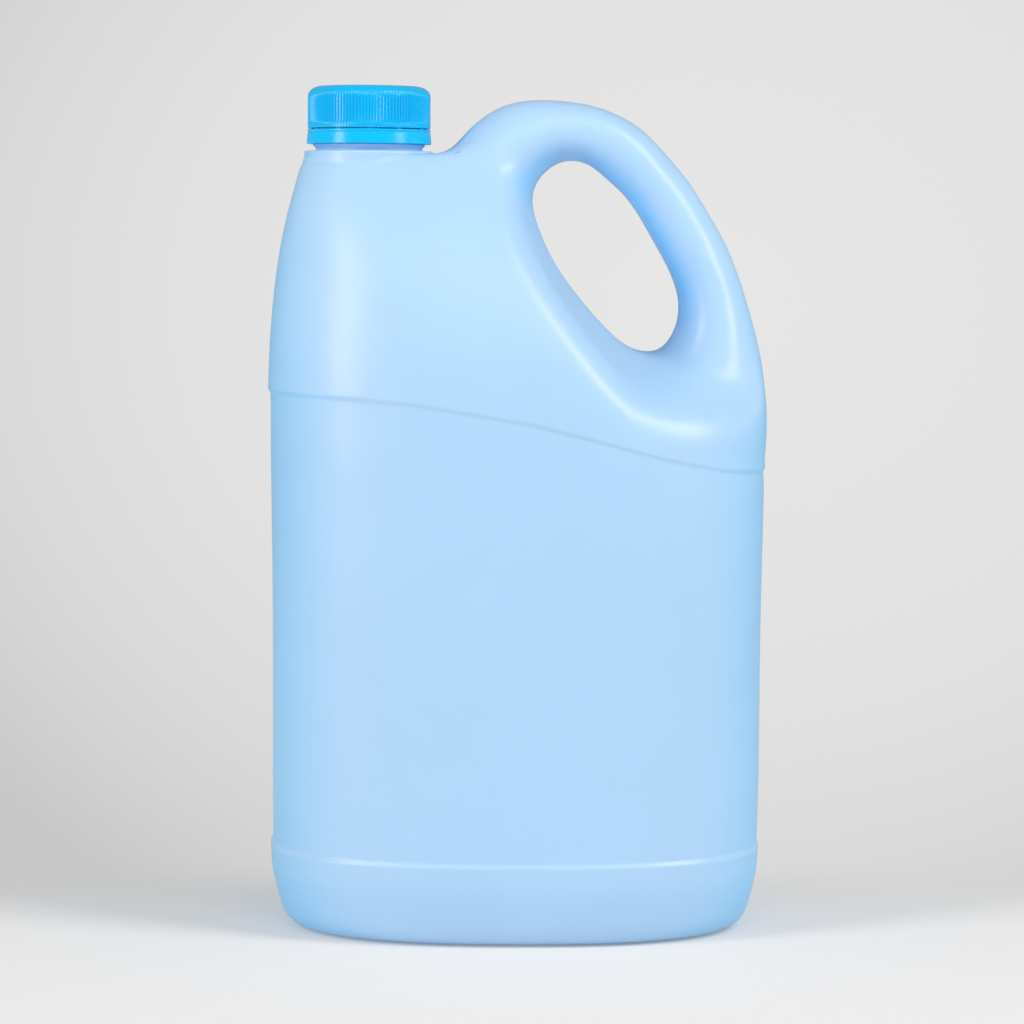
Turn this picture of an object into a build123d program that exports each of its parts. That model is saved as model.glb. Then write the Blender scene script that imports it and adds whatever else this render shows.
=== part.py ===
from build123d import *

import os
from math import copysign, cos, hypot, pi, radians, sin

# Diesel exhaust fluid jug: a blow-moulded bottle of about one US gallon with a tubular handle
# round a slanted hole, an offset screw neck, a broken tamper band, a ribbed cap and its liner.
# Millimetres. The origin is the middle of the flat base, +Z is up and the neck is on the -X side.

# Jug body
jug_width = 173.4
jug_depth = 125.0
shoulder_height = 266.5
wall = 1.25
panel_recess = 0.9
draft_share = 0.1
band_height = 28.5
foot_start = 21.0
foot_radius = 8.0

# Neck and its finish
neck_inset = 34.9
collar_radius = 22.3
collar_height = 1.0
collar_skirt = 9.0
collar_edge = 0.8
neck_gap = 2.3
ring_radius = 19.3
ring_height = 0.8
neck_radius = 18.3
neck_wall = 1.9
bead_height = 1.4
thread_pitch = 4.2
thread_depth = 1.3
thread_turns = 1.5
thread_root = 2.0
thread_crest = 0.9
thread_drop = 2.0
thread_bite = 0.2

# Screw cap
cap_radius = 21.15
cap_height = 14.6
cap_edge = 2.8
cap_top = 1.6
rib_count = 120
rib_depth = 0.3
rib_start = 1.8
rib_length = 10.2
cap_thread_turns = 1.25
mouth_chamfer = 0.4

# Tamper band and liner
tamper_radius = 21.2
tamper_flare = 0.3
tamper_height = 5.0
tamper_wall = 1.2
groove_depth = 0.25
groove_drop = 0.9
lip_height = 1.0
lip_grip = 1.05
nib_count = 12
nib_depth = 0.7
nib_width = 1.4
nib_height = 0.2
liner_thickness = 1.0
plug_height = 0.8
plug_wall = 0.8

# Clearances
slit = 0.35
turn_clearance = 0.4
lip_clearance = 0.3
seat_clearance = 0.05

half_width = jug_width / 2
neck_x = neck_inset - half_width
collar_lid = shoulder_height + collar_height
neck_base = collar_lid + neck_gap
tamper_base = neck_base + seat_clearance
tamper_rim = tamper_base + tamper_height
cap_base = tamper_rim + slit
cap_rim = cap_base + cap_height
liner_base = cap_rim - cap_top - seat_clearance - liner_thickness
neck_rim = liner_base - seat_clearance
bore_radius = neck_radius - neck_wall
tamper_bore = tamper_radius - tamper_wall
bead_radius = tamper_bore - lip_clearance
cap_bore = neck_radius + thread_depth + turn_clearance
thread_start = neck_rim - thread_drop - thread_turns * thread_pitch

# Levels of the hull from the foot up to the head: height, then inset of the left and the right end
lower_levels = [(foot_start, 1.9, 1.2), (75, 1.4, 0.2)]

# Levels of the foot under the band, which draws in to the floor: height and inset all round
foot_levels = [(0, 5.6), (foot_start / 2, 2.3), (foot_start, 0)]

# Levels of the head, measured from the shoulder: height, how far the left end and the faces
# have leaned in towards the collar (0 to 1), inset of the right end, end and face roundness
head_levels = [
    (-116.5, 0.05, 0.0, -0.3, 2.5, 2.5),
    (-96.5, 0.03, 0.012, -0.1, 2.5, 2.5),
    (-76.5, 0.035, 0.05, 1.1, 2.5, 2.5),
    (-52.5, 0.14, 0.19, 7.5, 2.65, 2.4),
    (-30.5, 0.37, 0.44, 17.0, 3.1, 2.25),
    (-13.5, 0.68, 0.76, 28.0, 4.6, 2.1),
    (0, 0.98, 1.06, 38.0, 6.6, 2.0),
    (12, 1.22, 1.32, 52.0, 6.6, 2.0),
]
lower_roundness = 2.5
section_points = 24
shared_levels = 3

# Top of the hull under the hump, from the right edge and the shoulder
hump_line = [(-114, 0.0), (-109.5, 1.4), (-104, 3.0), (-96, 4.2), (-86, 4.6)]

# Upper edge of the recessed panel, from the right edge and the shoulder
panel_line = [
    (-196, -82.5), (-166.6, -81.5), (-145.6, -82.3), (-124.6, -83.7), (-102.6, -86.9), (-81.6, -90.5),
    (-60.1, -95.9), (-38.6, -101.7), (-17.6, -106.1), (-2.6, -107.5), (24, -108.5),
]

# Dish round the handle's hole, from the right edge and the shoulder: where its wall starts at the
# mid-plane, the way it runs out to the rim in degrees, and how far away the rim is
dish_lines = [
    (-73.6, 13.5, 180, 14),
    (-79.1, -3.5, 182, 11.5),
    (-82.0, -16.0, 184, 9.5),
    (-79.2, -25.7, 204, 9.8),
    (-72.3, -39.4, 212, 9.7),
    (-61.5, -53.2, 220, 11.2),
    (-52.1, -62.9, 234, 13.0),
    (-43.6, -67.3, 262, 18.0),
    (-33.6, -67.5, 274, 20.5),
    (-20.6, -64.5, 276, 23.5),
    (-8.6, -61.0, 274, 23.5),
    (4.4, -57.5, 270, 22.0),
    (20.4, -54.0, 270, 20.0),
]
ridge_steps = (0.2, 0.42, 0.7, 1.0)
ridge_curve = 1.3
rim_radius = 7.0
rim_reach = 14.0
rim_clear = 5.0
least_depth = 14.0
rim_start = 0.4 * rim_radius
rim_top = 0.35 * rim_radius
rim_over = 0.7 * rim_radius
over_depth = 1.0
over_clear = 0.2
end_depth = 3.0

# Handle tube, from the right edge and the shoulder: outer point, inner point and half depth
handle_stations = [
    ((-119, -9), (-90, -38), 17),
    ((-112.1, -0.2), (-87.5, -28.8), 19.5),
    ((-104.9, 8.2), (-84.4, -19.3), 21.5),
    ((-90.9, 17.8), (-79.1, -7.4), 19.5),
    ((-72.6, 18.7), (-69.4, -1.6), 15.5),
    ((-52.1, 13.8), (-59.8, -5.1), 14.5),
    ((-36.4, 1.6), (-50.8, -13.2), 14.5),
    ((-24.1, -14.5), (-42.3, -25.7), 14.8),
    ((-13.4, -32.1), (-34.2, -40.2), 15.4),
    ((-6.0, -52.8), (-31.1, -56.0), 17.5),
    ((-1.9, -68.5), (-37.2, -67.3), 21.0),
    ((-0.8, -83.5), (-48, -78), 24.0),
    ((-1.8, -100.5), (-50, -98), 25.0),
]


def head(x, z):
    """A point of the head in the jug's own frame, from the right edge and the shoulder."""
    return half_width + x, shoulder_height + z


def hull_levels():
    """Height, left end, right end, half depth and the two roundnesses of each hull section."""
    levels = []
    for height, left_inset, right_inset in lower_levels:
        half_depth = jug_depth / 2 - draft_share * left_inset
        levels.append((height, left_inset - half_width, half_width - right_inset, half_depth,
                       lower_roundness, lower_roundness))
    for height, left_lean, face_lean, right_inset, ends, faces in head_levels:
        left = left_lean * (neck_inset - collar_radius) - half_width
        half_depth = jug_depth / 2 - face_lean * (jug_depth / 2 - collar_radius)
        levels.append((shoulder_height + height, left, half_width - right_inset, half_depth,
                       ends, faces))
    return levels


def hull_depth(x, z, inset):
    """Half depth of the hull at a place on its face."""
    levels = hull_levels()
    z = min(max(z, levels[0][0]), levels[-1][0])
    for below, above in zip(levels, levels[1:]):
        if z <= above[0]:
            break
    share = (z - below[0]) / (above[0] - below[0])
    _, left, right, half_depth, ends, faces = [a + (b - a) * share for a, b in zip(below, above)]
    along = abs(x - (left + right) / 2) / ((right - left) / 2 - inset)
    return (half_depth - inset) * (1 - min(along, 1) ** ends) ** (1 / faces)


def hull_section(level, inset):
    """One rounded section of the hull, a superellipse through points worked out by formula."""
    height, left, right, half_depth, ends, faces = level
    middle = (left + right) / 2
    half_length = (right - left) / 2 - inset
    points = []
    for i in range(section_points):
        turn = 2 * pi * i / section_points
        along, across = round(cos(turn), 9), round(sin(turn), 9)
        x = middle + half_length * copysign(abs(along) ** (2 / ends), along)
        y = (half_depth - inset) * copysign(abs(across) ** (2 / faces), across)
        points.append((x, y))
    with BuildSketch(Plane.XY.offset(height)) as section:
        with BuildLine():
            Spline(*points, periodic=True)
        make_face()
    return section.sketch


def hull(levels, inset):
    """Loft through the hull sections at the given levels."""
    with BuildPart() as solid:
        for level in levels:
            add(hull_section(level, inset))
        loft()
    return solid.part


def upper_hull(inset):
    """Hull above the panel line, its top following the foot of the hump."""
    with BuildPart() as upper:
        add(hull(hull_levels()[len(lower_levels):], inset))
        with BuildSketch(Plane.XZ):
            line = [head(x, z - inset) for x, z in hump_line]
            start, end = (-jug_width, line[0][1]), (jug_width, line[-1][1])
            with BuildLine():
                Line(start, line[0])
                Spline(*line)
                Polyline(line[-1], end, (jug_width, 2 * shoulder_height),
                         (-jug_width, 2 * shoulder_height), start)
            make_face()
        extrude(amount=jug_depth, both=True, mode=Mode.SUBTRACT)
        with BuildSketch(Plane.XZ):
            line = [head(x, z + inset) for x, z in panel_line]
            line = [(-jug_width, line[0][1])] + line[1:-1] + [(jug_width, line[-1][1])]
            with BuildLine():
                Spline(*line)
                Polyline(line[-1], (jug_width, 0), (-jug_width, 0), line[0])
            make_face()
        extrude(amount=jug_depth, both=True, mode=Mode.SUBTRACT)
    return upper.part


def base_band(inset):
    """Foot of the jug: a plain band over a foot that draws in to a rounded bottom edge."""
    section = hull_levels()[0][1:]
    with BuildPart() as band:
        with BuildSketch(Plane.XY.offset(foot_start)):
            add(hull_section((0,) + section, inset))
        extrude(amount=band_height - foot_start - inset)
        for height, drawn_in in foot_levels:
            add(hull_section((max(height, inset),) + section, drawn_in + inset))
        loft()
        fillet(band.faces().sort_by(Axis.Z)[0].edges(), foot_radius - inset)
    return band.part


def dish_face(inset):
    """Skin of the dish on both sides: from the hole's edge over the rim and clear of the hull."""
    rows = []
    for x, z, way, width in dish_lines:
        along_x, along_z = cos(radians(way)), sin(radians(way))
        start_x, start_z = head(x + along_x * inset, z + along_z * inset)

        def depth_at(out):
            return hull_depth(start_x + along_x * out, start_z + along_z * out, inset)

        rim_depth = max(depth_at(width), least_depth)
        outline = []
        for step in ridge_steps:
            outline.append((step * (rim_depth - rim_radius), (width - rim_start) * step ** ridge_curve))
        outline.append((rim_depth - rim_top, width))
        over = width + rim_over
        outline.append((max(depth_at(over), least_depth + over_depth) + over_clear, over))
        end = width + rim_reach
        outline.append((max(depth_at(end), least_depth + end_depth) + rim_clear, end))
        half_row = [(start_x + along_x * out, depth, start_z + along_z * out) for depth, out in outline]
        front = [(px, -depth, pz) for px, depth, pz in reversed(half_row)]
        rows.append(front + [(start_x, 0, start_z)] + half_row)
    return Face.make_surface_from_array_of_points(rows, tol=0.05)


def handle_tube(inset):
    """Tubular handle, its two roots buried in the hull."""
    with BuildPart() as tube:
        for outer, inner, half_depth in handle_stations:
            (outer_x, outer_z), (inner_x, inner_z) = head(*outer), head(*inner)
            half_length = hypot(outer_x - inner_x, outer_z - inner_z) / 2
            across = ((outer_x - inner_x) / half_length, 0, (outer_z - inner_z) / half_length)
            middle = ((outer_x + inner_x) / 2, 0, (outer_z + inner_z) / 2)
            with BuildSketch(Plane(middle, x_dir=across, z_dir=(across[2], 0, -across[0]))):
                Ellipse(half_length - inset, half_depth - inset)
        loft()
    return tube.part


def jug_form(inset):
    """The jug's closed form without its neck, drawn in by the inset."""
    with BuildPart() as dish:
        extrude(dish_face(inset), amount=jug_width, dir=(1, 0, 1))
    panel_levels = hull_levels()[:len(lower_levels) + shared_levels]
    with BuildPart() as form:
        add(hull(panel_levels, panel_recess + inset))
        add(upper_hull(inset))
        add(base_band(inset))
        add(dish.part, mode=Mode.SUBTRACT)
        add(handle_tube(inset))
    return form.part


def thread(radius, depth, turns, start, way):
    """A helical ridge on a cylinder about the neck: way is 1 outwards and -1 inwards."""
    with BuildPart() as ridge:
        with BuildLine(Plane((neck_x, 0, start))):
            path = Helix(thread_pitch, turns * thread_pitch, radius)
        with BuildSketch(Plane(path @ 0, x_dir=(1, 0, 0), z_dir=path % 0)):
            with BuildLine():
                Polyline(
                    (-thread_bite * way, -thread_root / 2), (way * depth, -thread_crest / 2),
                    (way * depth, thread_crest / 2), (-thread_bite * way, thread_root / 2), close=True,
                )
            make_face()
        sweep(path=path.edge(), is_frenet=True)
    return ridge.part


def neck_finish():
    """Collar, support ring and threaded neck, solid through."""
    with BuildPart() as neck:
        with Locations((neck_x, 0, collar_lid)):
            Cylinder(collar_radius, collar_skirt, align=(Align.CENTER, Align.CENTER, Align.MAX))
        fillet(neck.edges().sort_by(Axis.Z)[-1], collar_edge)
        with Locations((neck_x, 0, collar_lid)):
            Cylinder(neck_radius, neck_rim - collar_lid, align=(Align.CENTER, Align.CENTER, Align.MIN))
        with Locations((neck_x, 0, neck_base)):
            Cylinder(ring_radius, ring_height, align=(Align.CENTER, Align.CENTER, Align.MAX))
        with Locations((neck_x, 0, tamper_base + lip_height + lip_clearance)):
            Cylinder(bead_radius, bead_height, align=(Align.CENTER, Align.CENTER, Align.MIN))
        add(thread(neck_radius, thread_depth, thread_turns, thread_start, 1))
    return neck.part


# Jug body: the blown form with its collar and neck finish, hollow right through the handle
with BuildPart() as jug_body:
    add(jug_form(0))
    add(neck_finish())
    add(jug_form(wall), mode=Mode.SUBTRACT)
    with Locations((neck_x, 0, neck_rim)):
        Cylinder(bore_radius, neck_rim - collar_lid + collar_skirt, mode=Mode.SUBTRACT,
                 align=(Align.CENTER, Align.CENTER, Align.MAX))
jug_body.part.label = "jug_body"

# Tamper band: a ring that snaps under the neck's bead, with the stubs of its broken bridges
with BuildPart() as tamper_band:
    with Locations((neck_x, 0, tamper_base)):
        Cone(tamper_radius + tamper_flare, tamper_radius, tamper_height,
             align=(Align.CENTER, Align.CENTER, Align.MIN))
        Cylinder(bead_radius - lip_grip, lip_height, mode=Mode.SUBTRACT,
                 align=(Align.CENTER, Align.CENTER, Align.MIN))
    with Locations((neck_x, 0, tamper_base + lip_height)):
        Cylinder(tamper_bore, tamper_height, mode=Mode.SUBTRACT,
                 align=(Align.CENTER, Align.CENTER, Align.MIN))
    with BuildSketch(Plane((neck_x, 0, tamper_rim - groove_drop), x_dir=(1, 0, 0), z_dir=(0, -1, 0))):
        with Locations((tamper_radius, 0)):
            RegularPolygon(groove_depth, 4)
    revolve(axis=Axis((neck_x, 0, 0), (0, 0, 1)), mode=Mode.SUBTRACT)
    with Locations((neck_x, 0, tamper_rim)):
        with PolarLocations(tamper_radius - tamper_wall / 2, nib_count):
            Box(nib_depth, nib_width, 2 * nib_height)
tamper_band.part.label = "tamper_band"

# Cap liner: a sealing disc with a plug ring that centres it in the neck's mouth
plug_radius = bore_radius - turn_clearance
with BuildPart() as cap_liner:
    with Locations((neck_x, 0, liner_base)):
        Cylinder(cap_bore - turn_clearance, liner_thickness, align=(Align.CENTER, Align.CENTER, Align.MIN))
        Cylinder(plug_radius, plug_height, align=(Align.CENTER, Align.CENTER, Align.MAX))
        Cylinder(plug_radius - plug_wall, plug_height, mode=Mode.SUBTRACT,
                 align=(Align.CENTER, Align.CENTER, Align.MAX))
cap_liner.part.label = "cap_liner"

# Screw cap: a ribbed skirt with an inner thread half a pitch below the neck's own
with BuildPart() as screw_cap:
    with Locations((neck_x, 0, cap_base)):
        Cylinder(cap_radius, cap_height, align=(Align.CENTER, Align.CENTER, Align.MIN))
    fillet(screw_cap.edges().sort_by(Axis.Z)[-1], cap_edge)
    with Locations((neck_x, 0, cap_base)):
        Cylinder(cap_bore, cap_height - cap_top, mode=Mode.SUBTRACT,
                 align=(Align.CENTER, Align.CENTER, Align.MIN))
    mouth = screw_cap.edges().filter_by(GeomType.CIRCLE).group_by(Axis.Z)[0].sort_by(SortBy.LENGTH)[0]
    chamfer(mouth, mouth_chamfer)
    with BuildSketch(Plane((neck_x, 0, cap_base + rib_start))):
        with PolarLocations(cap_radius, rib_count):
            RegularPolygon(rib_depth, 4)
    extrude(amount=rib_length, mode=Mode.SUBTRACT)
    add(thread(cap_bore, thread_depth, cap_thread_turns, thread_start - thread_pitch / 2, -1))
screw_cap.part.label = "screw_cap"

os.makedirs("parts", exist_ok=True)
export_step(jug_body.part, "parts/jug_body.step")
export_step(tamper_band.part, "parts/tamper_band.step")
export_step(cap_liner.part, "parts/cap_liner.step")
export_step(screw_cap.part, "parts/screw_cap.step")
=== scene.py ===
from math import cos, pi, radians, sin

import bpy
import numpy as np
from bpy.props import FloatProperty, FloatVectorProperty, IntProperty, PointerProperty
from mathutils import Matrix, Vector


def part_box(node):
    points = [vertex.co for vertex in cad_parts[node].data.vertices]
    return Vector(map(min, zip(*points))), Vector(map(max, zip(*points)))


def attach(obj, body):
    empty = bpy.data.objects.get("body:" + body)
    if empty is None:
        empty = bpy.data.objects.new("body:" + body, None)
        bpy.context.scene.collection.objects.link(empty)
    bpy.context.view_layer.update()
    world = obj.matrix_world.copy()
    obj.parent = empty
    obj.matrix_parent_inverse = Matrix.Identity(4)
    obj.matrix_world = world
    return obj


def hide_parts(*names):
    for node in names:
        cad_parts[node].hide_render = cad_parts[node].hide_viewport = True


bl_info = {
    "name": "Fluid Jug",
    "version": (1, 0, 0),
    "blender": (4, 5, 0),
    "location": "View3D > Sidebar > Fluid Jug",
    "description": "Models and finishes a blow-moulded fluid jug, its screw cap, liner and band",
    "category": "Add Mesh",
}

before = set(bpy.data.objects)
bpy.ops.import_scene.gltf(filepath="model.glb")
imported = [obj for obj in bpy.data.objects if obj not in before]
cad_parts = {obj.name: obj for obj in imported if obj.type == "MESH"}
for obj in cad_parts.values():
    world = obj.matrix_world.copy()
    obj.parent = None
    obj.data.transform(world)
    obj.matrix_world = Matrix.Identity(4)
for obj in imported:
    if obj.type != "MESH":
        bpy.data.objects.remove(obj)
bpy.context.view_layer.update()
body_low, body_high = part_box("jug_body")
band_low, band_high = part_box("tamper_band")
cap_low, cap_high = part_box("screw_cap")
liner_low, liner_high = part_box("cap_liner")

# The neck's axis and the heights of its parts, all in metres
NECK = Vector(((cap_low.x + cap_high.x) / 2, 0, 0))
BAND_GAP = 0.00005
RING_TOP = band_low.z - BAND_GAP
COLLAR_LID = RING_TOP - 0.0023
COLLAR_EDGE = 0.0008
SHOULDER = COLLAR_LID - 0.001
BEAD_BASE = band_low.z + 0.0013
BEAD_TOP = BEAD_BASE + 0.0014
NECK_RIM = body_high.z

# Radii about the neck's axis
COLLAR_RADIUS = 0.0223
RING_RADIUS = 0.0193
NECK_RADIUS = 0.0183
BEAD_RADIUS = 0.0197
CAP_RADIUS = (cap_high.x - cap_low.x) / 2
CAP_BORE = 0.02
LINER_RADIUS = (liner_high.x - liner_low.x) / 2
INNERMOST = 0.003

# Screw thread: its ridge's widths at root and crest, and how its ends fade, in turns
PITCH = 0.0042
THREAD_DEPTH = 0.0013
THREAD_ROOT = 0.002
THREAD_CREST = 0.0009
THREAD_TURNS = 1.5
THREAD_START = NECK_RIM - 0.002 - THREAD_TURNS * PITCH
THREAD_BURIED = 0.0002
THREAD_STEPS = 72
THREAD_FADE = 0.09
THREAD_LEAST = 0.04

# Recessed panel: its upper edge, from the right edge and the shoulder, and its ledge
HALF_WIDTH = 0.0867
PANEL_LINE = [
    (-0.1966, -0.0818), (-0.1666, -0.0815), (-0.1456, -0.0823), (-0.1246, -0.0837),
    (-0.1026, -0.0869), (-0.0816, -0.0905), (-0.0601, -0.0959), (-0.0386, -0.1017),
    (-0.0176, -0.1061), (-0.0026, -0.1075), (0.024, -0.1085),
]
LEDGE_HEIGHT = 0.0285
FACE_RISE = (0.035, 0.14)
FACE_TURN = (0.3, 0.9)
LEAST_LEVEL = 0.2
CAD_RECESS = 0.0009
CAD_STEP = 0.0013

# Handle: the middle of its hole, the middle of its tube outside that and how it grows a degree
HOLE_MIDDLE = (0.0317, 0.2314)
TUBE_MIDDLE = 0.028
TUBE_GROWTH = 0.000235
TUBE_GROWS_FROM = 40
TUBE_HALF_WIDTH = 0.008

# Where the handle's outer arc is filled out: angle and spread in degrees, and depth
HANDLE_FILL = [(46, 15, 0.001), (97, 13, 0.0011)]

# Where the extra smoothing of the handle sets in, across and up, and its steps of weight
HANDLE_SIDE = (-0.045, -0.02)
HANDLE_FOOT = (0.165, 0.175)
WEIGHT_STEPS = 10

# Crease under the collar: its height, spread, outer end and fade
CREASE_HEIGHT = COLLAR_LID - 0.0042
CREASE_SPREAD = 0.0011
CREASE_END = 0.028
CREASE_FADE = 0.004

# Cap: heights and widths of its edges, and the grip's groove over one rib's columns of vertices
CROWN_HEIGHT = 0.0036
CROWN_WIDTH = 0.0048
CROWN_SAG = 0.00008
ROOF_THICKNESS = 0.0016
GROOVE = (0.55, 1, 0.55, 0, 0, 0)

# Segments round the lathed parts, and the angles above which an edge stays sharp, in degrees
NECK_SEGMENTS = 180
BAND_SEGMENTS = 240
SKIN_ANGLE = 60
PART_ANGLE = 32
MERGE = 0.00001

# Plastic: painted shade, how deep colour sets in on walls that face sideways and down, turned from
# the lamps
SIDE_WEIGHT = 0.87
DOWN_WEIGHT = 0.5
SHADE_FROM = 0.4
SHADE_FULL = 1.05
GLOSS_TINT = (1, 0.78, 0.7, 1)

# Backdrop: its palest direction, how much its height counts, its reach and its greys outwards
BACKDROP_MIDDLE = (0.085, 0.996, -0.027)
BACKDROP_SCALE = (1, 1, 1.25)
BACKDROP_REACH = 0.25
BACKDROP_GREYS = [(0, 0.8), (0.32, 0.776), (0.54, 0.757), (0.75, 0.7), (0.86, 0.65), (1, 0.57)]

# Lamps: direction round and up in degrees, distance, width and height
LAMPS = {
    "key_left": (-58, 22, 1.3, 0.36, 1.0),
    "key_right": (60, 34, 1.3, 0.42, 1.0),
    "front_top": (6, 46, 1.4, 0.9, 0.6),
}
LAMP_TARGET = (0, 0, 0.16)
CAMERA_TARGET = (-0.00143, 0, 0.1428)
FLOOR_RADIUS = 6


# Selecting and shaping

def deselect():
    """Leave edit mode and select nothing."""
    if bpy.context.object is not None and bpy.context.object.mode != "OBJECT":
        bpy.ops.object.mode_set(mode="OBJECT")
    bpy.ops.object.select_all(action="DESELECT")


def activate(piece):
    """Make a piece the only selected and active one."""
    deselect()
    piece.select_set(True)
    bpy.context.view_layer.objects.active = piece


def coordinates(piece):
    """The piece's vertices as rows of three numbers."""
    points = np.empty(len(piece.data.vertices) * 3)
    piece.data.vertices.foreach_get("co", points)
    return points.reshape(-1, 3)


def vertex_normals(piece):
    """The piece's vertex normals as rows of three numbers."""
    normals = np.empty(len(piece.data.vertices) * 3)
    piece.data.vertices.foreach_get("normal", normals)
    return normals.reshape(-1, 3)


def set_coordinates(piece, points):
    """Move the piece's vertices to the given places."""
    piece.data.vertices.foreach_set("co", points.ravel())
    piece.data.update()


def edit_faces(piece, chosen):
    """Enter edit mode on a piece with the chosen faces selected, given one flag a face."""
    activate(piece)
    mesh = piece.data
    bpy.context.tool_settings.mesh_select_mode = (False, False, True)
    mesh.vertices.foreach_set("select", np.zeros(len(mesh.vertices), bool))
    mesh.edges.foreach_set("select", np.zeros(len(mesh.edges), bool))
    mesh.polygons.foreach_set("select", np.asarray(chosen, bool))
    bpy.ops.object.mode_set(mode="EDIT")


def edit_open_edge(piece):
    """Enter edit mode on a piece with its open edge selected."""
    activate(piece)
    bpy.context.tool_settings.mesh_select_mode = (False, True, False)
    bpy.ops.object.mode_set(mode="EDIT")
    bpy.ops.mesh.select_all(action="DESELECT")
    bpy.ops.mesh.select_non_manifold()


def face_centres(piece):
    """The middle of each face as rows of three numbers."""
    centres = np.empty(len(piece.data.polygons) * 3)
    piece.data.polygons.foreach_get("center", centres)
    return centres.reshape(-1, 3)


def neck_distance(points):
    """How far each point is from the neck's axis."""
    return np.hypot(points[:, 0] - NECK.x, points[:, 1])


def smooth_step(value, low, high):
    """0 below the low mark, 1 above the high one, and an even curve between them."""
    share = np.clip((value - low) / (high - low), 0, 1)
    return share * share * (3 - 2 * share)


def apply_modifier(piece, kind, **settings):
    """Add a modifier with the given settings to a piece and apply it."""
    activate(piece)
    modifier = piece.modifiers.new(kind.lower(), kind)
    for name, value in settings.items():
        setattr(modifier, name, value)
    bpy.ops.object.modifier_apply(modifier=modifier.name)


def combine(piece, tool, operation):
    """Join a tool to a piece or cut it away, and remove the tool."""
    apply_modifier(piece, "BOOLEAN", object=tool, operation=operation, solver="EXACT")
    bpy.data.objects.remove(tool)


def lathe(name, profile, segments, closed=True):
    """A body turned about the neck's axis through a row of (radius, height) points."""
    (radius, height), rest = profile[0], profile[1:]
    deselect()
    bpy.ops.mesh.primitive_circle_add(
        vertices=segments, radius=radius, fill_type="NGON" if closed else "NOTHING",
        location=(NECK.x, 0, height),
    )
    piece = bpy.context.object
    piece.name = name
    bpy.ops.object.transform_apply(location=True, rotation=True, scale=True)
    bpy.ops.object.mode_set(mode="EDIT")
    bpy.context.tool_settings.mesh_select_mode = (True, True, True)
    bpy.ops.mesh.select_all(action="SELECT")
    extrude = bpy.ops.mesh.extrude_region_move if closed else bpy.ops.mesh.extrude_edges_move
    for next_radius, next_height in rest:
        ratio = next_radius / radius
        extrude(TRANSFORM_OT_translate={"value": (0, 0, next_height - height)})
        bpy.ops.transform.resize(
            value=(ratio, ratio, 1), center_override=(NECK.x, 0, next_height),
        )
        radius, height = next_radius, next_height
    bpy.ops.mesh.select_all(action="SELECT")
    bpy.ops.mesh.remove_doubles(threshold=MERGE)
    bpy.ops.mesh.normals_make_consistent(inside=False)
    bpy.ops.object.mode_set(mode="OBJECT")
    return piece


def arc(centre_radius, centre_height, size, start, end, steps):
    """Points of a round edge for a lathe profile, from a start to an end angle in degrees."""
    angles = [radians(start + (end - start) * i / steps) for i in range(steps + 1)]
    return [(centre_radius + size * cos(a), centre_height + size * sin(a)) for a in angles]


def thread_ridge(radius, depth, turns, start):
    """A helical ridge about the neck's axis with fading ends, outwards for a positive depth."""
    bury = -THREAD_BURIED if depth > 0 else THREAD_BURIED
    corners = [
        (bury, -THREAD_ROOT / 2), (depth, -THREAD_CREST / 2),
        (depth, THREAD_CREST / 2), (bury, THREAD_ROOT / 2),
    ]
    deselect()
    bpy.ops.mesh.primitive_plane_add(size=1)
    piece = bpy.context.object
    order = list(piece.data.polygons[0].vertices)
    for index, (out, up) in zip(order, corners):
        piece.data.vertices[index].co = (radius + out, 0, start + up)
    bpy.ops.object.mode_set(mode="EDIT")
    bpy.ops.mesh.delete(type="ONLY_FACE")
    bpy.ops.object.mode_set(mode="OBJECT")
    steps = int(turns * THREAD_STEPS)
    apply_modifier(
        piece, "SCREW", angle=2 * pi * turns, screw_offset=PITCH * turns,
        steps=steps, render_steps=steps,
    )
    points = coordinates(piece).reshape(-1, len(corners), 3)
    along = np.linspace(0, turns, len(points))
    fade = smooth_step(along, 0, THREAD_FADE) * smooth_step(turns - along, 0, THREAD_FADE)
    reach = np.hypot(points[..., 0], points[..., 1])
    grown = np.maximum(fade, THREAD_LEAST)[:, None]
    wanted = radius + bury + (reach - radius - bury) * grown
    points[..., :2] *= (wanted / reach)[..., None]
    points += NECK
    set_coordinates(piece, points)
    activate(piece)
    bpy.ops.object.mode_set(mode="EDIT")
    bpy.ops.mesh.select_all(action="SELECT")
    bpy.ops.mesh.fill_holes(sides=len(corners))
    bpy.ops.mesh.select_all(action="SELECT")
    bpy.ops.mesh.normals_make_consistent(inside=False)
    bpy.ops.object.mode_set(mode="OBJECT")
    return piece


# Materials

def new_material(name):
    """An empty node material and its shader."""
    material = bpy.data.materials.new(name)
    material.use_nodes = True
    return material, material.node_tree.nodes["Principled BSDF"]


def add_node(tree, kind, values=None, links=None, **settings):
    """A node with its settings, its sockets' constant values and the sources linked to them."""
    node = tree.nodes.new(kind)
    for name, value in settings.items():
        setattr(node, name, value)
    for socket, value in (values or {}).items():
        node.inputs[socket].default_value = value
    for socket, source in (links or {}).items():
        tree.links.new(source, node.inputs[socket])
    return node


def noise(tree, scale, detail, roughness=0.5):
    """A noise pattern on the piece's own coordinates."""
    place = add_node(tree, "ShaderNodeTexCoord")
    pattern = add_node(
        tree, "ShaderNodeTexNoise",
        values={"Scale": scale, "Detail": detail, "Roughness": roughness},
        links={"Vector": place.outputs["Object"]},
    )
    return pattern.outputs["Fac"]


def ramp(tree, source, stops):
    """Colours or greys along a source value, given as (position, colour) stops."""
    node = add_node(tree, "ShaderNodeValToRGB", links={"Fac": source})
    while len(node.color_ramp.elements) < len(stops):
        node.color_ramp.elements.new(0.5)
    for element, (position, colour) in zip(node.color_ramp.elements, stops):
        element.position = position
        element.color = (*colour, 1)
    return node.outputs["Color"]


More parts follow.
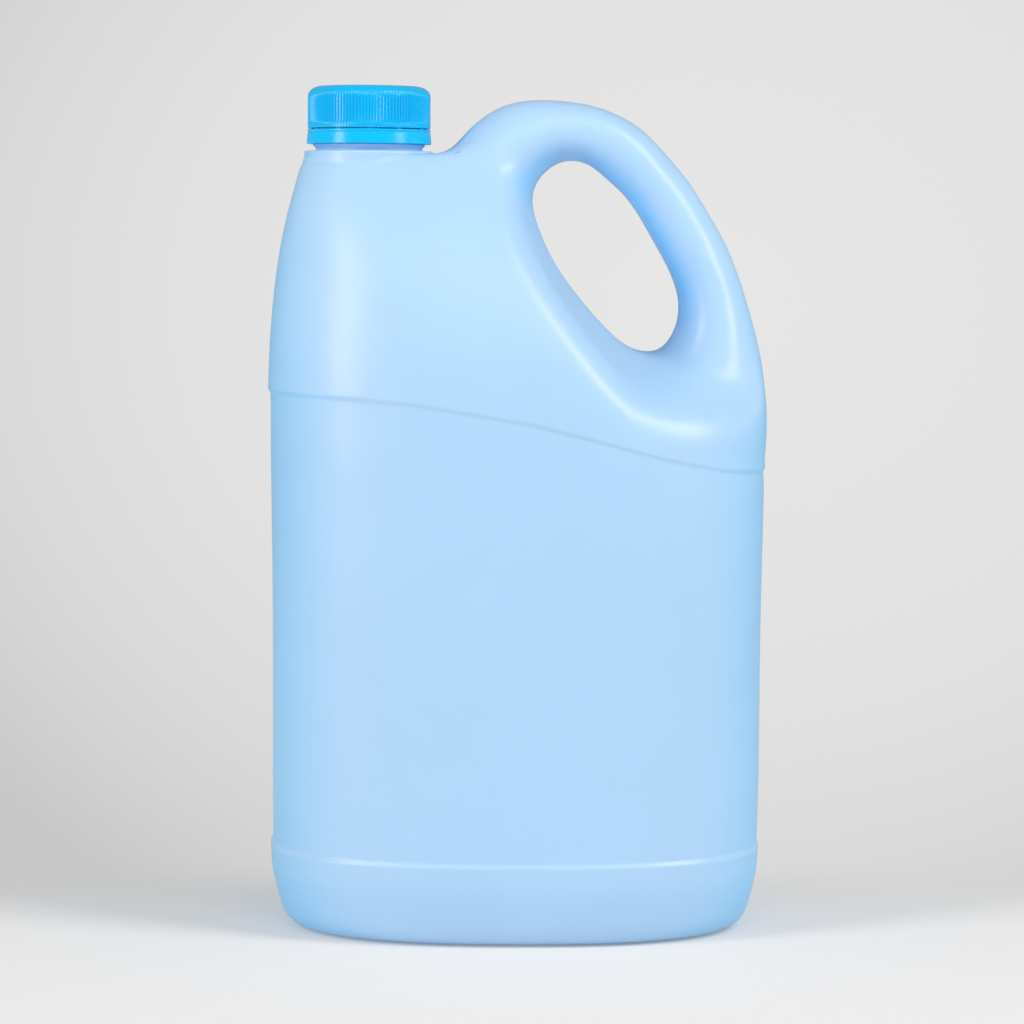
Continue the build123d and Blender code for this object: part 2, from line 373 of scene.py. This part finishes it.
def grey(value):
    """A grey as a colour."""
    return (value, value, value)


def bump(tree, shader, layers):
    """Chain bump layers, each a height source, its strength and its depth in metres."""
    previous = None
    for source, strength, distance in layers:
        node = add_node(
            tree, "ShaderNodeBump", values={"Strength": strength, "Distance": distance},
            links={"Height": source},
        )
        if previous is not None:
            tree.links.new(previous, node.inputs["Normal"])
        previous = node.outputs["Normal"]
    tree.links.new(previous, shader.inputs["Normal"])


def moulded_plastic(
    name, colour, spread, roughness, grain, grain_depth, shine=0.5, side_shade_tint=None,
):
    """Moulded polyolefin: a slightly cloudy colour, uneven gloss, a fine skin and, if given a side
    shade tint, painted shade on walls that face sideways and down.
    """
    material, shader = new_material(name)
    tree = material.node_tree
    dark = tuple(channel * (1 - spread) for channel in colour)
    light = tuple(min(channel * (1 + spread), 1) for channel in colour)
    cloud = noise(tree, scale=14, detail=3, roughness=0.6)
    tint = ramp(tree, cloud, [(0.3, dark), (0.7, light)])
    # Painted shade: the colour is deepened on walls that face sideways and down
    if side_shade_tint is not None:
        tint = paint_side_shade(tree, tint, side_shade_tint)
    tree.links.new(tint, shader.inputs["Base Color"])
    patches = noise(tree, scale=55, detail=4, roughness=0.6)
    glossier, duller = grey(roughness - 0.04), grey(roughness + 0.05)
    tree.links.new(
        ramp(tree, patches, [(0.25, glossier), (0.75, duller)]), shader.inputs["Roughness"],
    )
    waves = (noise(tree, scale=24, detail=1), 0.25, 0.0006)
    skin = (noise(tree, scale=grain, detail=3), 0.3, grain_depth)
    bump(tree, shader, [waves, skin])
    shader.inputs["IOR"].default_value = 1.5
    shader.inputs["Specular IOR Level"].default_value = shine
    shader.inputs["Specular Tint"].default_value = GLOSS_TINT
    return material


def arithmetic(tree, operation, first, second):
    """One sum of a node tree, on two numbers or sources."""
    node = add_node(tree, "ShaderNodeMath", operation=operation)
    for socket, value in zip(node.inputs, (first, second)):
        if isinstance(value, (int, float)):
            socket.default_value = value
        else:
            tree.links.new(value, socket)
    return node.outputs["Value"]


def one_way(tree, output, axis):
    """One axis of a place or direction on the piece."""
    place = add_node(tree, "ShaderNodeTexCoord")
    split = add_node(tree, "ShaderNodeSeparateXYZ", links={"Vector": place.outputs[output]})
    return split.outputs[axis]


def soft_share(tree, source, low, high):
    """0 below the low mark of a source, 1 above the high one, and an even curve between them."""
    share = add_node(
        tree, "ShaderNodeMapRange", values={"From Min": low, "From Max": high},
        links={"Value": source}, interpolation_type="SMOOTHSTEP",
    )
    return share.outputs["Result"]


def paint_side_shade(tree, tint, side_shade_tint):
    """Painted shade: a deeper colour on walls that face sideways and down, turned from the lamps.
    """
    across = arithmetic(tree, "ABSOLUTE", one_way(tree, "Normal", "X"), 0)
    sideways = arithmetic(tree, "MULTIPLY", across, SIDE_WEIGHT)
    up = arithmetic(tree, "MULTIPLY", one_way(tree, "Normal", "Z"), DOWN_WEIGHT)
    share = soft_share(tree, arithmetic(tree, "SUBTRACT", sideways, up), SHADE_FROM, SHADE_FULL)
    mix = add_node(
        tree, "ShaderNodeMix", values={"B": (*side_shade_tint, 1)},
        links={"Factor": share, "A": tint}, data_type="RGBA", blend_type="MULTIPLY",
    )
    return mix.outputs["Result"]


def finish(piece, material, angle, slot, body, *replaced):
    """Give a finished piece its material, shading, body and the nodes it stands for; the slot given
    to it is not used.
    """
    activate(piece)
    piece.data.materials.clear()
    piece.data.materials.append(material)
    bpy.ops.object.shade_smooth_by_angle(angle=radians(angle))
    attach(piece, body)
    if replaced:
        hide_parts(*replaced)


# Jug body

def cad_shells():
    """Merged copies of the body's outside below the neck and of its hollow, both cut level."""
    piece = bpy.data.objects.new("jug_skin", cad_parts["jug_body"].data.copy())
    bpy.context.scene.collection.objects.link(piece)
    activate(piece)
    bpy.ops.mesh.customdata_custom_splitnormals_clear()
    bpy.ops.object.mode_set(mode="EDIT")
    bpy.ops.mesh.select_all(action="SELECT")
    bpy.ops.mesh.remove_doubles(threshold=MERGE)
    bpy.ops.object.mode_set(mode="OBJECT")
    centres = face_centres(piece)
    near_axis = neck_distance(centres) < COLLAR_RADIUS + 0.0005
    near_top = centres[:, 2] > SHOULDER - 0.02
    edit_faces(piece, near_axis & near_top)
    bpy.ops.mesh.bisect(
        plane_co=(0, 0, COLLAR_LID - COLLAR_EDGE), plane_no=(0, 0, 1), clear_outer=True,
    )
    bpy.ops.mesh.select_all(action="SELECT")
    bpy.ops.mesh.separate(type="LOOSE")
    bpy.ops.object.mode_set(mode="OBJECT")
    shells = bpy.context.selected_objects
    skin, hollow = sorted(shells, key=lambda part: coordinates(part)[:, 2].min())
    return skin, hollow


def close_open_edge(piece):
    """Close the piece's open edge with one flat face."""
    edit_open_edge(piece)
    bpy.ops.mesh.edge_face_add()
    bpy.ops.object.mode_set(mode="OBJECT")


def panel_top(points):
    """Height of the recessed panel's upper edge at each point."""
    line = np.array(PANEL_LINE) + (HALF_WIDTH, SHOULDER)
    return np.interp(points[:, 0], line[:, 0], line[:, 1])


def panel_depth(points, softness):
    """How deep each point lies in the recessed panel, from 0 to 1."""
    below_top = smooth_step(panel_top(points) - points[:, 2], -softness, softness)
    above_ledge = smooth_step(points[:, 2] - LEDGE_HEIGHT, -softness, softness)
    return below_top * above_ledge


def sink_panel(piece, ledge_depth, line_depth, softness):
    """Move the panel inwards, level with the ground: one depth at its ledge and ends, one above."""
    points = coordinates(piece)
    normals = vertex_normals(piece)
    normals[:, 2] = 0
    normals /= np.maximum(np.linalg.norm(normals, axis=1, keepdims=True), LEAST_LEVEL)
    on_face = smooth_step(points[:, 2], *FACE_RISE)
    on_face *= smooth_step(np.abs(normals[:, 1]), *FACE_TURN)
    depth = ledge_depth + (line_depth - ledge_depth) * on_face
    points -= normals * (depth * panel_depth(points, softness))[:, None]
    set_coordinates(piece, points)


def round_handle(piece):
    """Fill out the handle's outer arc at two places, by about a millimetre."""
    points = coordinates(piece)
    across, up = points[:, 0] - HOLE_MIDDLE[0], points[:, 2] - HOLE_MIDDLE[1]
    distance = np.hypot(across, up)
    angle = np.degrees(np.arctan2(up, across))
    tube_middle = TUBE_MIDDLE + TUBE_GROWTH * np.maximum(angle - TUBE_GROWS_FROM, 0)
    outer = smooth_step(distance, tube_middle, tube_middle + TUBE_HALF_WIDTH)
    fill = sum(
        depth * np.exp(-(((angle - place) / spread) ** 2))
        for place, spread, depth in HANDLE_FILL
    )
    points[:, 0] += across / distance * fill * outer
    points[:, 2] += up / distance * fill * outer
    set_coordinates(piece, points)


def smooth_handle(piece, passes):
    """Smooth the handle and what flows into it again, more and more from the neck rightwards."""
    points = coordinates(piece)
    weights = smooth_step(points[:, 0], *HANDLE_SIDE) * smooth_step(points[:, 2], *HANDLE_FOOT)
    group = piece.vertex_groups.new(name="handle")
    for level in range(1, WEIGHT_STEPS + 1):
        chosen = np.nonzero(np.round(weights * WEIGHT_STEPS) == level)[0]
        group.add(chosen.tolist(), level / WEIGHT_STEPS, "REPLACE")
    apply_modifier(piece, "SMOOTH", factor=0.5, iterations=passes, vertex_group="handle")
    piece.vertex_groups.clear()


def refine_steps(piece, reach, cuts):
    """Divide the faces next to the panel's edges."""
    for _ in range(cuts):
        centres = face_centres(piece)
        near = np.abs(centres[:, 2] - panel_top(centres)) < reach
        near |= np.abs(centres[:, 2] - LEDGE_HEIGHT) < reach
        edit_faces(piece, near)
        bpy.ops.mesh.subdivide(number_cuts=1)
        bpy.ops.object.mode_set(mode="OBJECT")
        reach *= 0.6


def crease_collar(piece, depth):
    """Press a faint crease into the shoulder round the foot of the collar."""
    centres = face_centres(piece)
    near_axis = neck_distance(centres) < CREASE_END + 0.002
    near_height = np.abs(centres[:, 2] - CREASE_HEIGHT) < 0.0028
    edit_faces(piece, near_axis & near_height)
    bpy.ops.mesh.subdivide(number_cuts=2)
    bpy.ops.object.mode_set(mode="OBJECT")
    points = coordinates(piece)
    away = points - NECK
    away[:, 2] = 0
    reach = np.linalg.norm(away, axis=1, keepdims=True)
    share = np.exp(-(((points[:, 2] - CREASE_HEIGHT) / CREASE_SPREAD) ** 2))
    share *= smooth_step(CREASE_END - reach[:, 0], 0, CREASE_FADE)
    points -= away / reach * (share * depth)[:, None]
    set_coordinates(piece, points)


def hold_inside(piece):
    """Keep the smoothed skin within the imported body's own box."""
    set_coordinates(piece, np.clip(coordinates(piece), body_low, body_high))


def neck_profile():
    """Outline of the collar, ledge, neck and bead, from inside the shoulder up to the rim."""
    lip, slope, ring_edge = 0.0005, 0.0004, 0.0002
    ledge = RING_TOP - 0.0008
    profile = [
        (COLLAR_RADIUS - 0.002, COLLAR_LID - 0.007), (COLLAR_RADIUS - 0.0006, COLLAR_LID - 0.0052),
        (COLLAR_RADIUS, COLLAR_LID - 0.0045), (COLLAR_RADIUS, COLLAR_LID - 0.0017),
    ]
    profile += arc(
        COLLAR_RADIUS - COLLAR_EDGE, COLLAR_LID - COLLAR_EDGE, COLLAR_EDGE, 0, 90, 6,
    )
    profile += [
        (NECK_RADIUS + 0.0003, COLLAR_LID), (NECK_RADIUS, COLLAR_LID + 0.0003),
        (NECK_RADIUS, ledge - 0.0006), (RING_RADIUS - 0.0001, ledge + 0.0002),
    ]
    profile += arc(RING_RADIUS - ring_edge, RING_TOP - ring_edge, ring_edge, 0, 90, 3)
    profile += [
        (NECK_RADIUS, RING_TOP), (NECK_RADIUS, BEAD_BASE - slope), (BEAD_RADIUS, BEAD_BASE),
        (BEAD_RADIUS, BEAD_TOP - slope), (NECK_RADIUS, BEAD_TOP + slope),
        (NECK_RADIUS, NECK_RIM - lip),
    ]
    profile += arc(NECK_RADIUS - lip, NECK_RIM - lip, lip, 0, 90, 4)[1:]
    return profile


def extrude_bore(hollow):
    """Carry the hollow's open top straight up past the neck's rim and close it."""
    edit_open_edge(hollow)
    rise = NECK_RIM - COLLAR_LID + 0.002
    bpy.ops.mesh.extrude_edges_move(TRANSFORM_OT_translate={"value": (0, 0, rise)})
    bpy.ops.mesh.edge_face_add()
    bpy.ops.mesh.select_all(action="SELECT")
    bpy.ops.mesh.normals_make_consistent(inside=False)
    bpy.ops.object.mode_set(mode="OBJECT")


class JugBodyLook(bpy.types.PropertyGroup):
    """Sizes and colour of the blown body."""

    voxel: FloatProperty(
        name="Voxel", description="Spacing of the skin's mesh", default=0.0019,
        unit="LENGTH", precision=4,
    )
    passes: IntProperty(
        name="Smoothing", description="Smoothing passes over the whole skin", default=14,
    )
    crease_passes: IntProperty(
        name="Handle smoothing", description="Extra smoothing passes round the handle", default=20,
    )
    recess: FloatProperty(
        name="Panel recess", description="Depth of the lower panel at its ledge and ends",
        default=0.00095, unit="LENGTH", precision=5,
    )
    line_recess: FloatProperty(
        name="Line recess", description="Depth of the lower panel under its upper line",
        default=0.0006, unit="LENGTH", precision=5,
    )
    crease: FloatProperty(
        name="Collar crease", description="Depth of the crease round the collar's foot",
        default=0.0004, unit="LENGTH", precision=5,
    )
    step: FloatProperty(
        name="Step softness", description="Half width of the step at the panel's edge",
        default=0.001, unit="LENGTH", precision=4,
    )
    colour: FloatVectorProperty(
        name="Colour", description="Colour of the jug's plastic", subtype="COLOR", size=3,
        default=(0.415, 0.665, 0.94), min=0, max=1,
    )
    # Painted shade: colour filter for the walls turned from the light
    side_shade_tint: FloatVectorProperty(
        name="Painted side shade", description="Colour filter of the sides turned from the light",
        subtype="COLOR", size=3, default=(0.55, 0.86, 0.96), min=0, max=1,
    )
    roughness: FloatProperty(name="Roughness", description="How satin the skin is", default=0.35)


class JUG_OT_body(bpy.types.Operator):
    """Model the blown body with its handle, panel, collar and neck finish"""

    bl_idname = "jug.body"
    bl_label = "Jug body"

    def execute(self, context):
        look = context.scene.jug_body_look
        skin, hollow = cad_shells()
        close_open_edge(skin)
        apply_modifier(skin, "REMESH", mode="VOXEL", voxel_size=look.voxel)
        sink_panel(skin, -CAD_RECESS, -CAD_RECESS, CAD_STEP)
        apply_modifier(skin, "SMOOTH", factor=0.5, iterations=look.passes)
        round_handle(skin)
        smooth_handle(skin, look.crease_passes)
        refine_steps(skin, reach=0.0024, cuts=2)
        sink_panel(skin, look.recess, look.line_recess, look.step)
        crease_collar(skin, look.crease)
        hold_inside(skin)
        neck = lathe("neck", neck_profile(), NECK_SEGMENTS)
        thread = thread_ridge(NECK_RADIUS, THREAD_DEPTH, THREAD_TURNS, THREAD_START)
        combine(neck, thread, "UNION")
        combine(skin, neck, "UNION")
        extrude_bore(hollow)
        combine(skin, hollow, "DIFFERENCE")
        skin.name = "jug_body_skin"
        # The skin's plastic carries painted shade on its sideways and downward walls
        material = moulded_plastic(
            "jug_plastic", look.colour, spread=0.02, roughness=look.roughness, grain=900,
            grain_depth=0.00003, side_shade_tint=look.side_shade_tint,
        )
        finish(skin, material, SKIN_ANGLE, "jug_plastic", "jug", "jug_body")
        return {"FINISHED"}


# Screw cap

def cap_profile():
    """Outline of the cap from the middle of its roof inside, round its mouth and up to its top."""
    roof = cap_high.z - ROOF_THICKNESS
    inside, mouth, bevel = 0.0006, 0.00025, 0.0004
    profile = [(INNERMOST, roof), (CAP_BORE - inside, roof)]
    profile += arc(CAP_BORE - inside, roof - inside, inside, 90, 0, 4)[1:]
    profile += [
        (CAP_BORE, cap_low.z + bevel), (CAP_BORE + bevel, cap_low.z),
        (CAP_RADIUS - mouth, cap_low.z),
    ]
    profile += arc(CAP_RADIUS - mouth, cap_low.z + mouth, mouth, -90, 0, 4)[1:]
    side = cap_high.z - CROWN_HEIGHT
    skirt = side - cap_low.z
    rings = (0.09, 0.16, 0.2, 0.5, 0.8, 0.88, 0.94)
    profile += [(CAP_RADIUS, cap_low.z + skirt * share) for share in rings]
    steps = 8
    for step in range(steps + 1):
        angle = radians(90 * step / steps)
        radius = CAP_RADIUS - CROWN_WIDTH * (1 - cos(angle))
        profile.append((radius, side + (CROWN_HEIGHT - CROWN_SAG) * sin(angle)))
    profile += [(0.008, cap_high.z - 0.00002), (INNERMOST, cap_high.z)]
    return profile


def press_ribs(cap, look):
    """Press the grip's grooves into the cap's side, each with soft ends."""
    column = 2 * pi / (len(GROOVE) * look.ribs)
    points = coordinates(cap)
    angle = np.arctan2(points[:, 1], points[:, 0] - NECK.x)
    place = np.round(angle / column).astype(int) % len(GROOVE)
    radius = neck_distance(points)
    height = smooth_step(points[:, 2], cap_low.z + 0.0011, cap_low.z + 0.0022)
    height *= smooth_step(cap_high.z - points[:, 2], 0.0016, 0.0042)
    height[radius < CAP_RADIUS - 0.0025] = 0
    depth = np.array(GROOVE)[place] * look.rib_depth * height
    points[:, 0] = NECK.x + (points[:, 0] - NECK.x) * (1 - depth / radius)
    points[:, 1] *= 1 - depth / radius
    set_coordinates(cap, points)


class ScrewCapLook(bpy.types.PropertyGroup):
    """Sizes and colour of the screw cap."""

    ribs: IntProperty(name="Ribs", description="Number of grip ribs", default=120)
    rib_depth: FloatProperty(
        name="Rib depth", description="Depth of the grooves between the ribs",
        default=0.0003, unit="LENGTH", precision=5,
    )
    colour: FloatVectorProperty(
        name="Colour", description="Colour of the cap's plastic", subtype="COLOR", size=3,
        default=(0.0, 0.47, 0.91), min=0, max=1,
    )
    roughness: FloatProperty(name="Roughness", description="How glossy the cap is", default=0.22)


class JUG_OT_cap(bpy.types.Operator):
    """Model the ribbed screw cap with its inside thread"""

    bl_idname = "jug.cap"
    bl_label = "Screw cap"

    def execute(self, context):
        look = context.scene.screw_cap_look
        cap = lathe("screw_cap_shell", cap_profile(), len(GROOVE) * look.ribs)
        press_ribs(cap, look)
        turns, start = THREAD_TURNS - 0.25, THREAD_START - PITCH / 2
        combine(cap, thread_ridge(CAP_BORE, -THREAD_DEPTH, turns, start), "UNION")
        material = moulded_plastic(
            "cap_plastic", look.colour, spread=0.03, roughness=look.roughness, grain=700,
            grain_depth=0.00002, shine=0.36,
        )
        finish(cap, material, PART_ANGLE, "cap_plastic", "cap", "screw_cap")
        return {"FINISHED"}


# Tamper band

def band_profile(top_radius, top):
    """Outline of the band's section: lip, flared side with a groove, top and bore."""
    base_radius = (band_high.x - band_low.x) / 2
    lip, bore, edge = BEAD_RADIUS - 0.00105, BEAD_RADIUS + 0.0003, 0.0002
    lip_top = band_low.z + 0.001
    groove = top - 0.0009
    return [
        (lip, band_low.z), (base_radius - edge, band_low.z), (base_radius, band_low.z + edge),
        (top_radius, groove - 0.0003), (top_radius - edge, groove - 0.00005),
        (top_radius - edge, groove + 0.00005), (top_radius, groove + 0.0003),
        (top_radius, top - edge), (top_radius - edge, top), (bore, top),
        (bore, band_low.z + 0.0011), (bore - 0.0001, lip_top), (lip, lip_top), (lip, band_low.z),
    ]


class TamperBandLook(bpy.types.PropertyGroup):
    """Sizes and colour of the tamper band."""

    flare: FloatProperty(
        name="Flare", description="How much wider the band is at its base",
        default=0.0003, unit="LENGTH", precision=5,
    )
    nibs: IntProperty(name="Bridges", description="Number of broken bridges", default=12)
    colour: FloatVectorProperty(
        name="Colour", description="Colour of the band's plastic", subtype="COLOR", size=3,
        default=(0.0, 0.52, 0.95), min=0, max=1,
    )
    roughness: FloatProperty(name="Roughness", description="How glossy the band is", default=0.22)


class JUG_OT_band(bpy.types.Operator):
    """Model the tamper band with its inner lip and the stubs of its bridges"""

    bl_idname = "jug.band"
    bl_label = "Tamper band"

    def execute(self, context):
        look = context.scene.tamper_band_look
        top = band_low.z + 0.005
        top_radius = (band_high.x - band_low.x) / 2 - look.flare
        band = lathe("tamper_band_ring", band_profile(top_radius, top), BAND_SEGMENTS, closed=False)
        out = top_radius - 0.0006
        for index in range(look.nibs):
            angle = 2 * pi * index / look.nibs
            deselect()
            bpy.ops.mesh.primitive_cube_add(
                size=1, scale=(0.0007, 0.0014, 0.0004), rotation=(0, 0, angle),
                location=(NECK.x + out * cos(angle), out * sin(angle), top),
            )
            stub = bpy.context.object
            bpy.ops.object.transform_apply(location=True, rotation=True, scale=True)
            combine(band, stub, "UNION")
        material = moulded_plastic(
            "band_plastic", look.colour, spread=0.03, roughness=look.roughness, grain=700,
            grain_depth=0.00002, shine=0.36,
        )
        finish(band, material, PART_ANGLE, "cap_plastic", "band", "tamper_band")
        return {"FINISHED"}


# Cap liner

def liner_profile(plug_radius):
    """Outline of the sealing disc and its plug ring, from the middle of the top to that below."""
    seat = liner_high.z - 0.001
    inner = plug_radius - 0.0008
    edge = 0.00015
    return [
        (INNERMOST, liner_high.z), (LINER_RADIUS - edge, liner_high.z),
        (LINER_RADIUS, liner_high.z - edge), (LINER_RADIUS, seat + edge),
        (LINER_RADIUS - edge, seat), (plug_radius, seat), (plug_radius, liner_low.z + edge),
        (plug_radius - edge, liner_low.z), (inner + edge, liner_low.z),
        (inner, liner_low.z + edge), (inner, seat), (INNERMOST, seat),
    ]


class CapLinerLook(bpy.types.PropertyGroup):
    """Sizes and colour of the sealing disc."""

    plug_radius: FloatProperty(
        name="Plug radius", description="Radius of the ring that centres the disc",
        default=0.016, unit="LENGTH", precision=4,
    )
    colour: FloatVectorProperty(
        name="Colour", description="Colour of the foam", subtype="COLOR", size=3,
        default=(0.86, 0.87, 0.88), min=0, max=1,
    )


class JUG_OT_liner(bpy.types.Operator):
    """Model the foam sealing disc with its plug ring"""

    bl_idname = "jug.liner"
    bl_label = "Cap liner"

    def execute(self, context):
        look = context.scene.cap_liner_look
        liner = lathe("cap_liner_disc", liner_profile(look.plug_radius), NECK_SEGMENTS)
        material = moulded_plastic(
            "liner_foam", look.colour, spread=0.03, roughness=0.55, grain=1500,
            grain_depth=0.00008,
        )
        finish(liner, material, PART_ANGLE, "liner_foam", "liner", "cap_liner")
        return {"FINISHED"}


# Stage

class StudioLook(bpy.types.PropertyGroup):
    """Camera, floor and lights."""

    azimuth: FloatProperty(
        name="Azimuth", description="Way the camera looks", default=radians(-2), subtype="ANGLE",
    )
    pitch: FloatProperty(
        name="Pitch", description="Tilt of the camera", default=radians(4.49), subtype="ANGLE",
    )
    roll: FloatProperty(
        name="Roll", description="Roll of the camera", default=radians(0.45), subtype="ANGLE",
    )
    distance: FloatProperty(
        name="Distance", description="Camera to target", default=1.3, unit="LENGTH",
    )
    focal_length: FloatProperty(
        name="Focal length", description="Lens in millimetres", default=131.2,
    )
    floor_grey: FloatProperty(
        name="Floor grey", description="How pale the floor is", default=0.67,
    )
    floor_glow: FloatProperty(
        name="Floor glow", description="Light that the floor itself gives", default=0.17,
    )
    fade_start: FloatProperty(
        name="Fade start", description="Where the floor begins to fade, behind the jug",
        default=0.02, unit="LENGTH",
    )
    fade_end: FloatProperty(
        name="Fade end", description="Where the floor has faded", default=0.11, unit="LENGTH",
    )
    ambient: FloatProperty(
        name="Ambient", description="Strength of the even light", default=0.3,
    )
    ambient_colour: FloatVectorProperty(
        name="Ambient colour", description="Tint of the even light", subtype="COLOR", size=3,
        default=(0.96, 1.0, 1.0), min=0, max=1,
    )
    left_power: FloatProperty(
        name="Left lamp", description="Power of the left lamp in watts", default=9.6,
    )
    right_power: FloatProperty(
        name="Right lamp", description="Power of the right lamp in watts", default=11.2,
    )
    front_power: FloatProperty(
        name="Front lamp", description="Power of the front lamp in watts", default=2.6,
    )
    lamp_colour: FloatVectorProperty(
        name="Lamp colour", description="Tint of the lamps", subtype="COLOR", size=3,
        default=(1.0, 0.95, 0.92), min=0, max=1,
    )


def aim(thing, place, target):
    """Put a camera or lamp at a place and point it at a target."""
    thing.location = place
    thing.rotation_euler = (Vector(target) - Vector(place)).to_track_quat("-Z", "Y").to_euler()


def way_to(azimuth, elevation):
    """The direction out of the jug at an angle round from its front and an angle up."""
    return Vector((
        sin(azimuth) * cos(elevation), -cos(azimuth) * cos(elevation), sin(elevation),
    ))


def soft_box(name, azimuth, elevation, distance, width, height, power, colour):
    """A rectangular studio lamp aimed at the jug from a direction in degrees."""
    deselect()
    bpy.ops.object.light_add(type="AREA")
    lamp = bpy.context.object
    lamp.name = name
    lamp.data.shape = "RECTANGLE"
    lamp.data.size = width
    lamp.data.size_y = height
    lamp.data.energy = power
    lamp.data.color = colour
    way = way_to(radians(azimuth), radians(elevation))
    aim(lamp, Vector(LAMP_TARGET) + way * distance, LAMP_TARGET)


def seen_by_camera(tree):
    """Whether a ray comes straight from the camera."""
    return add_node(tree, "ShaderNodeLightPath").outputs["Is Camera Ray"]


def mix_shaders(tree, share, first, second):
    """Two shaders mixed, by the share that the second has."""
    mix = add_node(tree, "ShaderNodeMixShader", links={"Fac": share, 1: first, 2: second})
    return mix.outputs["Shader"]


def paper_floor(look):
    """Pale glowing paper that takes the jug's shadow and gives way to the backdrop behind it."""
    material, shader = new_material("floor_paper")
    tree = material.node_tree
    shader.inputs["Base Color"].default_value = (*grey(look.floor_grey), 1)
    shader.inputs["Roughness"].default_value = 0.9
    shader.inputs["Specular IOR Level"].default_value = 0.2
    shader.inputs["Emission Color"].default_value = (*grey(1), 1)
    shader.inputs["Emission Strength"].default_value = look.floor_glow
    behind = soft_share(tree, one_way(tree, "Object", "Y"), look.fade_start, look.fade_end)
    faded = arithmetic(tree, "MULTIPLY", behind, seen_by_camera(tree))
    clear = add_node(tree, "ShaderNodeBsdfTransparent")
    paper = mix_shaders(tree, faded, shader.outputs["BSDF"], clear.outputs["BSDF"])
    tree.links.new(paper, tree.nodes["Material Output"].inputs["Surface"])
    return material


def pale_world(look):
    """Even light from all round, and for the camera the backdrop, palest behind the jug."""
    world = bpy.data.worlds.new("studio")
    world.use_nodes = True
    tree = world.node_tree
    light = tree.nodes["Background"]
    light.inputs["Color"].default_value = (*look.ambient_colour, 1)
    light.inputs["Strength"].default_value = look.ambient
    way = add_node(tree, "ShaderNodeTexCoord")
    tall = add_node(
        tree, "ShaderNodeVectorMath", values={1: BACKDROP_SCALE},
        links={0: way.outputs["Generated"]}, operation="MULTIPLY",
    )
    turn = add_node(
        tree, "ShaderNodeVectorMath", values={1: BACKDROP_MIDDLE},
        links={0: tall.outputs["Vector"]}, operation="DISTANCE",
    )
    spread = add_node(
        tree, "ShaderNodeMapRange", values={"From Max": BACKDROP_REACH},
        links={"Value": turn.outputs["Value"]},
    )
    stops = [(position, grey(level)) for position, level in BACKDROP_GREYS]
    greys = ramp(tree, spread.outputs["Result"], stops)
    backdrop = add_node(tree, "ShaderNodeBackground", links={"Color": greys})
    studio = mix_shaders(
        tree, seen_by_camera(tree), light.outputs["Background"], backdrop.outputs["Background"],
    )
    tree.links.new(studio, tree.nodes["World Output"].inputs["Surface"])
    return world


class JUG_OT_stage(bpy.types.Operator):
    """Set the pale floor, the soft lamps and the camera"""

    bl_idname = "jug.stage"
    bl_label = "Stage"

    def execute(self, context):
        look = context.scene.studio_look
        deselect()
        bpy.ops.mesh.primitive_circle_add(
            vertices=96, radius=FLOOR_RADIUS, fill_type="NGON", location=(0, 0, 0),
        )
        floor = context.object
        floor.name = "floor"
        floor.data.materials.append(paper_floor(look))
        context.scene.world = pale_world(look)
        powers = (look.left_power, look.right_power, look.front_power)
        for (name, place), power in zip(LAMPS.items(), powers):
            soft_box(name, *place, power, look.lamp_colour)
        bpy.ops.object.camera_add()
        camera = context.object
        camera.data.sensor_width = 36
        camera.data.lens = look.focal_length
        target = Vector(CAMERA_TARGET)
        aim(camera, target + way_to(look.azimuth, look.pitch) * look.distance, target)
        turn = camera.rotation_euler.to_matrix() @ Matrix.Rotation(look.roll, 3, "Z")
        camera.rotation_euler = turn.to_euler()
        context.scene.camera = camera
        context.scene.view_settings.view_transform = "Standard"
        return {"FINISHED"}


# Sidebar panel and registration

class JUG_PT_panel(bpy.types.Panel):
    """Lists the jug's pieces and settings"""

    bl_idname = "JUG_PT_panel"
    bl_label = "Fluid Jug"
    bl_space_type = "VIEW_3D"
    bl_region_type = "UI"
    bl_category = "Fluid Jug"

    def draw(self, context):
        for key in LOOKS:
            look = getattr(context.scene, key)
            for name in look.__annotations__:
                self.layout.prop(look, name)
        for operator in OPERATORS:
            self.layout.operator(operator.bl_idname)


LOOKS = {
    "jug_body_look": JugBodyLook,
    "screw_cap_look": ScrewCapLook,
    "tamper_band_look": TamperBandLook,
    "cap_liner_look": CapLinerLook,
    "studio_look": StudioLook,
}
OPERATORS = (JUG_OT_body, JUG_OT_cap, JUG_OT_band, JUG_OT_liner, JUG_OT_stage)


def register():
    """Make the settings, the operators and the panel known to Blender."""
    for name, look in LOOKS.items():
        bpy.utils.register_class(look)
        setattr(bpy.types.Scene, name, PointerProperty(type=look))
    for operator in OPERATORS:
        bpy.utils.register_class(operator)
    bpy.utils.register_class(JUG_PT_panel)


def unregister():
    """Take back what register made known."""
    bpy.utils.unregister_class(JUG_PT_panel)
    for operator in reversed(OPERATORS):
        bpy.utils.unregister_class(operator)
    for name, look in LOOKS.items():
        delattr(bpy.types.Scene, name)
        bpy.utils.unregister_class(look)


def main():
    """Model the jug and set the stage."""
    register()
    bpy.ops.jug.body()
    bpy.ops.jug.cap()
    bpy.ops.jug.band()
    bpy.ops.jug.liner()
    bpy.ops.jug.stage()


if __name__ == "__main__":
    main()
